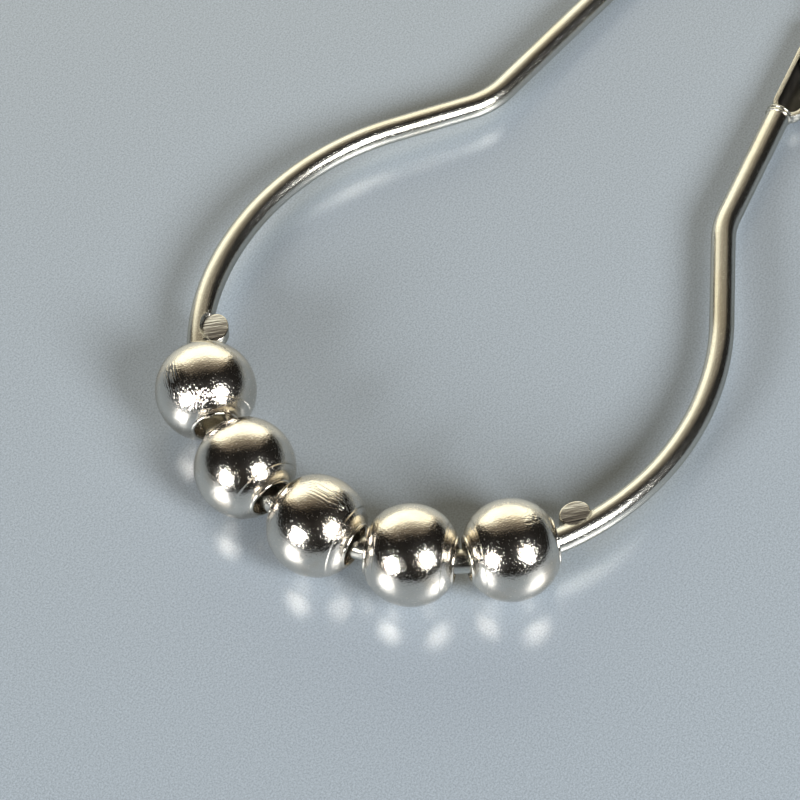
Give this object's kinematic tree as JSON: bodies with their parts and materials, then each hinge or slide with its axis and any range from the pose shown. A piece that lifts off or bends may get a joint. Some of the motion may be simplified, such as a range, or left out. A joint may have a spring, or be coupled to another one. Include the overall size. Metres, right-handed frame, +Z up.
{
  "type": "shower curtain ring",
  "caption": "Pear-shaped spring wire ring for a shower curtain. Hollow balls roll on its round rod loop between two pressed ears, and its pin end snaps into a trough clasp.",
  "frame": {"origin": "under the centre of the round rod loop, on the table that the ring lies on", "axes": "+X along the ring, away from the balls and towards the eyelet loop; +Z up from the table; the clasp is on the -Y side"},
  "size_m": [0.0934, 0.0525, 0.01],
  "materials": {
    "plated_wire": "bright nickel plate on drawn spring steel wire, with faint drawing marks",
    "plated_ball": "bright nickel plate on pressed sheet steel, with fine scuffs"
  },
  "bodies": {
    "ring": {"ring_wire": "plated_wire"},
    "ball_1": {"roller_ball_1": "plated_ball"},
    "ball_2": {"roller_ball_2": "plated_ball"},
    "ball_3": {"roller_ball_3": "plated_ball"},
    "ball_4": {"roller_ball_4": "plated_ball"},
    "ball_5": {"roller_ball_5": "plated_ball"}
  },
  "joints": [
    {"name": "ball_1_spin", "type": "hinge", "parent": "ring", "child": "ball_1", "pos_m": [-0.01768, 0.01696, 0.005], "axis": [-0.691, -0.7224, 0.0258], "continuous": true},
    {"name": "ball_2_spin", "type": "hinge", "parent": "ring", "child": "ball_2", "pos_m": [-0.02284, 0.00884, 0.005], "axis": [-0.3602, -0.9328, 0.0134], "continuous": true},
    {"name": "ball_3_spin", "type": "hinge", "parent": "ring", "child": "ball_3", "pos_m": [-0.02448, -0.00064, 0.005], "axis": [0.0262, -0.9997, -0.001], "continuous": true},
    {"name": "ball_4_spin", "type": "hinge", "parent": "ring", "child": "ball_4", "pos_m": [-0.02235, -0.01002, 0.005], "axis": [0.4085, -0.9127, -0.0152], "continuous": true},
    {"name": "ball_5_spin", "type": "hinge", "parent": "ring", "child": "ball_5", "pos_m": [-0.01677, -0.01786, 0.005], "axis": [0.7279, -0.6852, -0.0272], "continuous": true}
  ]
}
